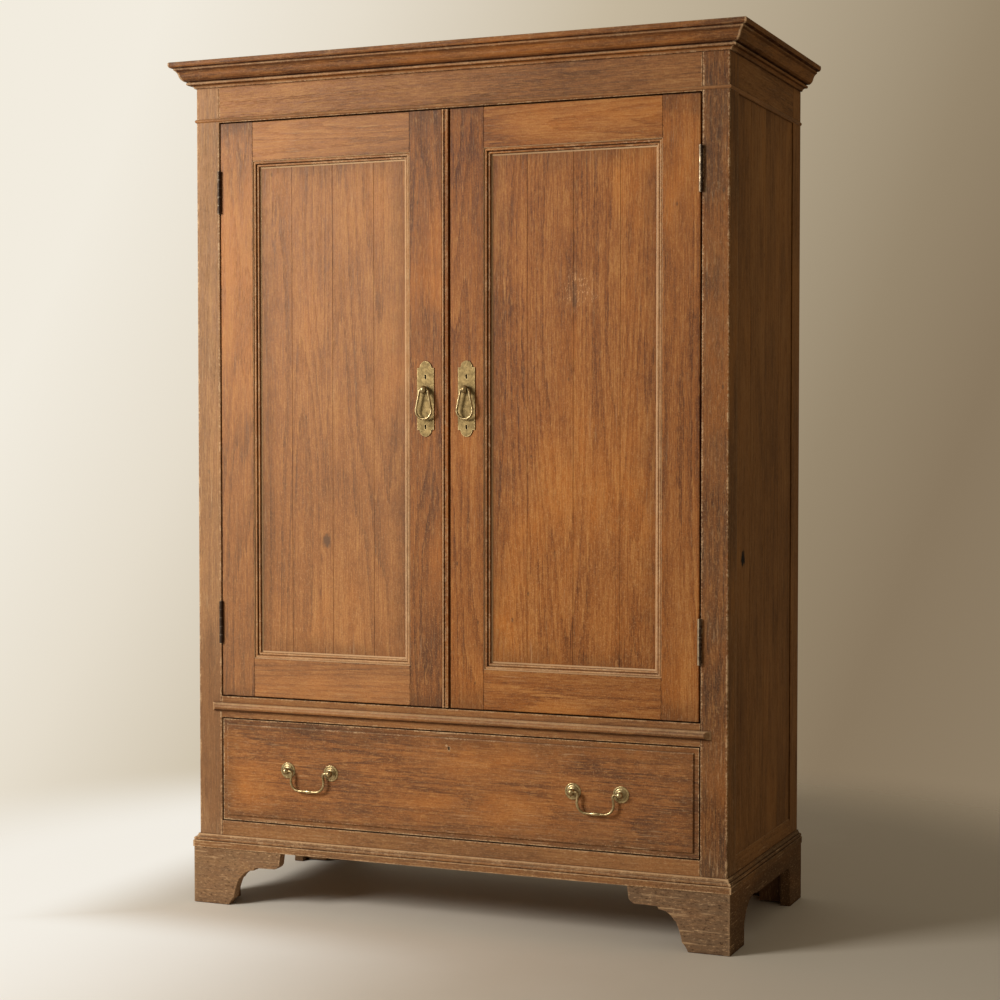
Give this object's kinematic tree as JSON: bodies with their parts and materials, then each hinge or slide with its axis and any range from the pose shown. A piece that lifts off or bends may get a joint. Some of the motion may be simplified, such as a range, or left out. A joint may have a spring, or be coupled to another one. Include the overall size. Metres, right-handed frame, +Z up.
{
  "type": "linen press",
  "caption": "Free-standing linen press: panelled doors with brass drop pulls over a long drawer with swan-neck handles, moulded cornice, bracket feet, shelves inside.",
  "frame": {"origin": "middle of the bounding box at floor level", "axes": "+X to the viewer's right when facing the doors, +Y to the back, +Z up"},
  "size_m": [1.376, 0.628, 1.95],
  "materials": {
    "carcase_wood": "waxed",
    "door_wood": "waxed",
    "inner_wood": "unfinished",
    "aged_brass": "aged",
    "dark_iron": "aged"
  },
  "bodies": {
    "carcase": {"back_boards": "inner_wood", "back_rails": "inner_wood", "bottom_rail": "carcase_wood", "cornice_front": "carcase_wood", "cornice_returns": "carcase_wood", "cupboard_floor": "inner_wood", "drawer_runners": "inner_wood", "drawer_stops": "inner_wood", "foot_blocks": "inner_wood", "frame_hinges": "dark_iron", "frieze_bead": "carcase_wood", "frieze_rail": "carcase_wood", "front_brackets": "carcase_wood", "front_post_left": "carcase_wood", "front_post_right": "carcase_wood", "plinth_front": "carcase_wood", "plinth_returns": "carcase_wood", "rear_brackets": "inner_wood", "rear_post_left": "carcase_wood", "rear_post_right": "carcase_wood", "shelf_bearers": "inner_wood", "shelf_lower": "inner_wood", "shelf_middle": "inner_wood", "shelf_upper": "inner_wood", "side_boards_left": "carcase_wood", "side_boards_right": "carcase_wood", "side_bracket_left": "carcase_wood", "side_bracket_right": "carcase_wood", "side_rails_left": "carcase_wood", "side_rails_right": "carcase_wood", "top_boards": "inner_wood", "waist_moulding": "carcase_wood", "waist_rail": "carcase_wood"},
    "left_door": {"left_door_astragal": "door_wood", "left_door_bottom_rail": "door_wood", "left_door_hinge_leaves": "dark_iron", "left_door_hinge_stile": "door_wood", "left_door_meeting_stile": "door_wood", "left_door_moulding": "door_wood", "left_door_panel": "door_wood", "left_door_top_rail": "door_wood", "left_pull_plate": "aged_brass"},
    "right_door": {"right_door_bottom_rail": "door_wood", "right_door_hinge_leaves": "dark_iron", "right_door_hinge_stile": "door_wood", "right_door_meeting_stile": "door_wood", "right_door_moulding": "door_wood", "right_door_panel": "door_wood", "right_door_top_rail": "door_wood", "right_pull_plate": "aged_brass"},
    "drawer": {"drawer_front": "door_wood", "drawer_sides": "inner_wood", "drawer_back": "inner_wood", "drawer_bottom": "inner_wood", "drawer_lock": "dark_iron", "drawer_handle_posts": "aged_brass"},
    "left_drop": {"left_drop_pull": "aged_brass"},
    "right_drop": {"right_drop_pull": "aged_brass"},
    "left_bail": {"left_bail": "aged_brass"},
    "right_bail": {"right_bail": "aged_brass"}
  },
  "joints": [
    {"name": "left_door_hinge", "type": "hinge", "parent": "carcase", "child": "left_door", "pos_m": [-0.5785, -0.2704, 0.659], "axis": [0, 0, -1], "range_deg": [0, 170]},
    {"name": "right_door_hinge", "type": "hinge", "parent": "carcase", "child": "right_door", "pos_m": [0.5785, -0.2704, 0.659], "axis": [0, 0, 1], "range_deg": [0, 170]},
    {"name": "drawer_slide", "type": "slide", "parent": "carcase", "child": "drawer", "axis": [0, -1, 0], "range_m": [0, 0.38]},
    {"name": "left_drop_hinge", "type": "hinge", "parent": "left_door", "child": "left_drop", "pos_m": [-0.056, -0.2785, 1.194], "axis": [-1, 0, 0], "range_deg": [-6, 170]},
    {"name": "right_drop_hinge", "type": "hinge", "parent": "right_door", "child": "right_drop", "pos_m": [0.043, -0.2785, 1.194], "axis": [-1, 0, 0], "range_deg": [-6, 170]},
    {"name": "left_bail_hinge", "type": "hinge", "parent": "drawer", "child": "left_bail", "pos_m": [-0.3494, -0.279, 0.3235], "axis": [-1, 0, 0], "range_deg": [-8, 170]},
    {"name": "right_bail_hinge", "type": "hinge", "parent": "drawer", "child": "right_bail", "pos_m": [0.3494, -0.279, 0.3235], "axis": [-1, 0, 0], "range_deg": [-8, 170]}
  ]
}
